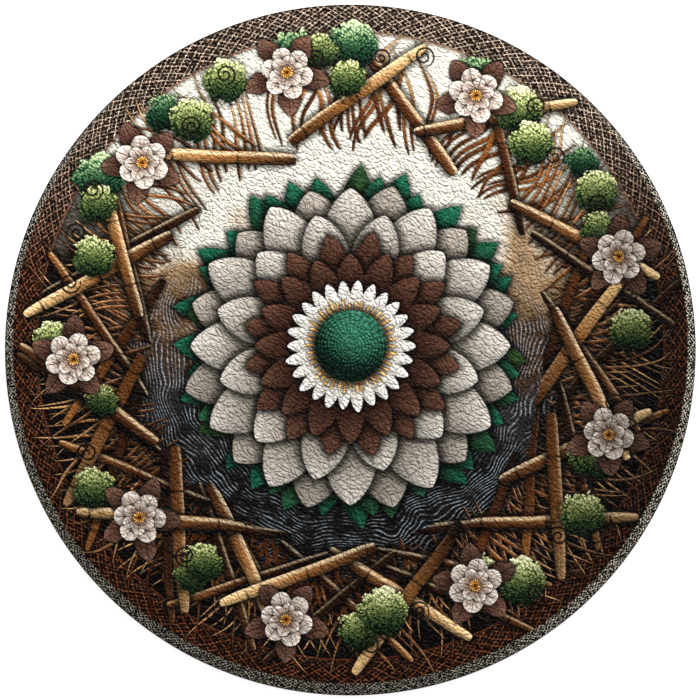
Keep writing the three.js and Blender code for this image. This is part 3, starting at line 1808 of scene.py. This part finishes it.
@dataclass
class Mat:
    """The vinyl sheet itself: one closed disc. All its sizes are in metres."""

    diameter: float
    thickness: float
    rim_steps: int = 360
    face_edge_radius: float = 0.6 * MM
    face_edge_steps: int = 4
    back_edge_radius: float = 0.2 * MM
    back_edge_steps: int = 2
    zone_radius: float = MEDALLION_END * MM
    centre_radius: float = 56.0 * MM
    outer_rings: int = 10
    inner_rings: int = 8
    body: bpy.types.Object = field(init=False)

    def build(self) -> None:
        """Model the disc, its rounded edges and its rings of faces."""
        bpy.ops.object.select_all(action="DESELECT")
        bpy.ops.mesh.primitive_cylinder_add(
            vertices=self.rim_steps,
            radius=self.diameter / 2,
            depth=self.thickness,
            location=(0.0, 0.0, self.thickness / 2),
            end_fill_type="NGON",
        )
        self.body = bpy.context.object
        self.body.name = "placemat_sheet"
        bpy.ops.object.transform_apply(location=True, rotation=True, scale=True)
        bpy.ops.object.mode_set(mode="EDIT")
        bpy.ops.mesh.select_mode(type="EDGE")
        self.round_rim(self.thickness, self.face_edge_radius, self.face_edge_steps)
        self.round_rim(0.0, self.back_edge_radius, self.back_edge_steps)
        bpy.ops.mesh.select_mode(type="FACE")
        self.ring_flat(up=True, rim_radius=self.diameter / 2 - self.face_edge_radius)
        self.ring_flat(up=False, rim_radius=self.diameter / 2 - self.back_edge_radius)
        bpy.ops.mesh.select_all(action="SELECT")
        bpy.ops.mesh.normals_make_consistent(inside=False)
        bpy.ops.object.mode_set(mode="OBJECT")
        bpy.ops.object.shade_smooth_by_angle(angle=SMOOTH_ANGLE)

    def round_rim(self, height: float, radius: float, steps: int) -> None:
        """Round the disc's edge at one height.

        Args:
            height: The height of the sharp edge.
            radius: The radius it gets.
            steps: How many faces the round has.
        """
        mesh = bmesh.from_edit_mesh(self.body.data)
        for edge in mesh.edges:
            edge.select_set(all(abs(corner.co.z - height) < SAME_PLACE for corner in edge.verts))
        bmesh.update_edit_mesh(self.body.data)
        bpy.ops.mesh.bevel(offset=radius, segments=steps, profile=ROUND_PROFILE, affect="EDGES")

    def ring_flat(self, up: bool, rim_radius: float) -> None:
        """Divide one flat side into rings of faces round a grid.

        Args:
            up: True for the printed face, False for the back.
            rim_radius: Where that side's flat ends.
        """
        mesh = bmesh.from_edit_mesh(self.body.data)
        side = 1.0 if up else -1.0
        largest = max(mesh.faces, key=lambda face: face.calc_area() * face.normal.z * side)
        for face in mesh.faces:
            face.select_set(face is largest)
        bmesh.update_edit_mesh(self.body.data)
        outer_step = (rim_radius - self.zone_radius) / self.outer_rings
        inner_step = (self.zone_radius - self.centre_radius) / self.inner_rings
        for step in [outer_step] * self.outer_rings + [inner_step] * self.inner_rings:
            bpy.ops.mesh.inset(thickness=step / math.cos(math.pi / self.rim_steps))
        bpy.ops.mesh.delete(type="ONLY_FACE")
        bpy.ops.mesh.select_mode(type="EDGE")
        bpy.ops.mesh.select_all(action="DESELECT")
        mesh = bmesh.from_edit_mesh(self.body.data)
        for edge in mesh.edges:
            edge.select_set(edge.is_boundary)
        bmesh.update_edit_mesh(self.body.data)
        bpy.ops.mesh.fill_grid(span=self.rim_steps // 4)
        bpy.ops.mesh.select_mode(type="FACE")

    def dress(self) -> None:
        """Give each zone of the skin its material, and lay out its map."""
        grain = LeatherGrain()
        materials = (medallion_face(grain), wreath_face(grain), CUT_EDGE.material(), PLAIN_BACK.material())
        for material in materials:
            self.body.data.materials.append(material)
        for face in self.body.data.polygons:
            face.material_index = self.zone(face).value
        self.lay_out_map()

    def zone(self, face: bpy.types.MeshPolygon) -> Zone:
        """Find the zone that a face lies in.

        Args:
            face: The face.

        Returns:
            Its zone.
        """
        if face.normal.z < -FLAT_NORMAL:
            return Zone.BACK
        if face.normal.z < EDGE_NORMAL:
            return Zone.EDGE
        return Zone.MEDALLION if face.center.to_2d().length < self.zone_radius else Zone.WREATH

    def lay_out_map(self) -> None:
        """Map the skin without overlaps: the face as a disc, the edge round it, the back in a corner."""
        layer = self.body.data.uv_layers.new(name="OFBake")
        mesh = self.body.data
        for face in mesh.polygons:
            zone = self.zone(face)
            for corner in face.loop_indices:
                place = mesh.vertices[mesh.loops[corner].vertex_index].co
                layer.data[corner].uv = self.map_place(place, zone is Zone.BACK)

    def map_place(self, place: Vector, back: bool) -> tuple[float, float]:
        """Work out where a point of the skin lies on the map.

        Args:
            place: The point, in metres.
            back: Whether it belongs to the back.

        Returns:
            Its two map coordinates.
        """
        rim = self.diameter / 2
        if back:
            share = BACK_MAP_RADIUS / rim
            return BACK_MAP_RADIUS + place.x * share, BACK_MAP_RADIUS + place.y * share
        flat_rim = rim - self.face_edge_radius
        reach = place.to_2d().length
        if place.z > self.thickness - SAME_PLACE and reach <= flat_rim + SAME_PLACE:
            share = FACE_MAP_RADIUS / flat_rim
            return MAP_CENTRE + place.x * share, MAP_CENTRE + place.y * share
        drop = (self.thickness - place.z) / self.thickness
        out = FACE_MAP_RADIUS + (EDGE_MAP_RADIUS - FACE_MAP_RADIUS) * drop
        return MAP_CENTRE + place.x / reach * out, MAP_CENTRE + place.y / reach * out

    def declare(self) -> None:
        """Attach the sheet to the root body, and hide the imported solid that it stands for."""
        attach(self.body, "root")
        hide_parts("placemat")


@dataclass(frozen=True)
class Studio:
    """The pale floor, the soft lights and the camera over the mat.

    The lens and its sensor are in millimetres, and the floor and the picture in metres.
    """

    floor_side: float = 8.0
    floor_drop: float = 0.2 * MM
    floor_tone: Colour = (0.4, 0.4, 0.4)
    floor_glow: float = 0.82
    floor_roughness: float = 0.9
    lens: float = 120.0
    sensor: float = 36.0
    picture_width: float = 384.8 * MM
    picture_shift: float = 0.22 * MM

    def lay_floor(self) -> None:
        """Lay the pale floor under the mat."""
        bpy.ops.object.select_all(action="DESELECT")
        bpy.ops.mesh.primitive_plane_add(size=self.floor_side, location=(0.0, 0.0, -self.floor_drop))
        floor = bpy.context.object
        floor.name = "floor"
        bpy.ops.object.transform_apply(location=True, rotation=True, scale=True)
        graph = Surface("pale_floor")
        inputs = graph.shader.inputs
        graph.feed(inputs["Base Color"], self.floor_tone)
        graph.feed(inputs["Emission Color"], WHITE)
        graph.feed(inputs["Emission Strength"], self.floor_glow)
        graph.feed(inputs["Roughness"], self.floor_roughness)
        graph.feed(inputs["Specular IOR Level"], 0.0)
        floor.data.materials.append(graph.material)

    def light(self) -> None:
        """Set a broad soft lamp to the upper right and an even fill from all round."""
        bpy.ops.object.light_add(type="AREA", location=KEY_LAMP_PLACE)
        lamp = bpy.context.object
        lamp.name = "key_lamp"
        lamp.data.shape = "DISK"
        lamp.data.size = KEY_LAMP_SIZE
        lamp.data.energy = KEY_LAMP_POWER
        lamp.rotation_euler = (-Vector(KEY_LAMP_PLACE)).to_track_quat("-Z", "Y").to_euler()
        world = bpy.data.worlds.new("soft_fill")
        world.use_nodes = True
        background = world.node_tree.nodes["Background"]
        background.inputs["Color"].default_value = (*WHITE, 1.0)
        background.inputs["Strength"].default_value = FILL_STRENGTH
        bpy.context.scene.world = world

    def set_camera(self, face_height: float) -> None:
        """Hang the camera straight over the mat.

        Args:
            face_height: The height of the printed face.
        """
        distance = self.picture_width * self.lens / self.sensor
        bpy.ops.object.camera_add(location=(-self.picture_shift, 0.0, face_height + distance))
        camera = bpy.context.object
        camera.data.lens = self.lens
        camera.data.sensor_width = self.sensor
        bpy.context.scene.camera = camera
        bpy.context.scene.view_settings.view_transform = "Standard"


def main() -> None:
    """Build the mat, its setting and its camera, and report each piece."""
    logging.basicConfig(level=logging.INFO, format="%(message)s")
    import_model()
    low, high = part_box("placemat")
    mat = Mat(diameter=high[0] - low[0], thickness=high[2] - low[2])
    mat.build()
    mat.dress()
    mat.declare()
    log.info("%s: %d faces, %.0f mm across", mat.body.name, len(mat.body.data.polygons), mat.diameter / MM)
    studio = Studio()
    studio.lay_floor()
    studio.light()
    studio.set_camera(mat.thickness)
    log.info("studio: floor, lights and camera")


if __name__ == "__main__":
    main()
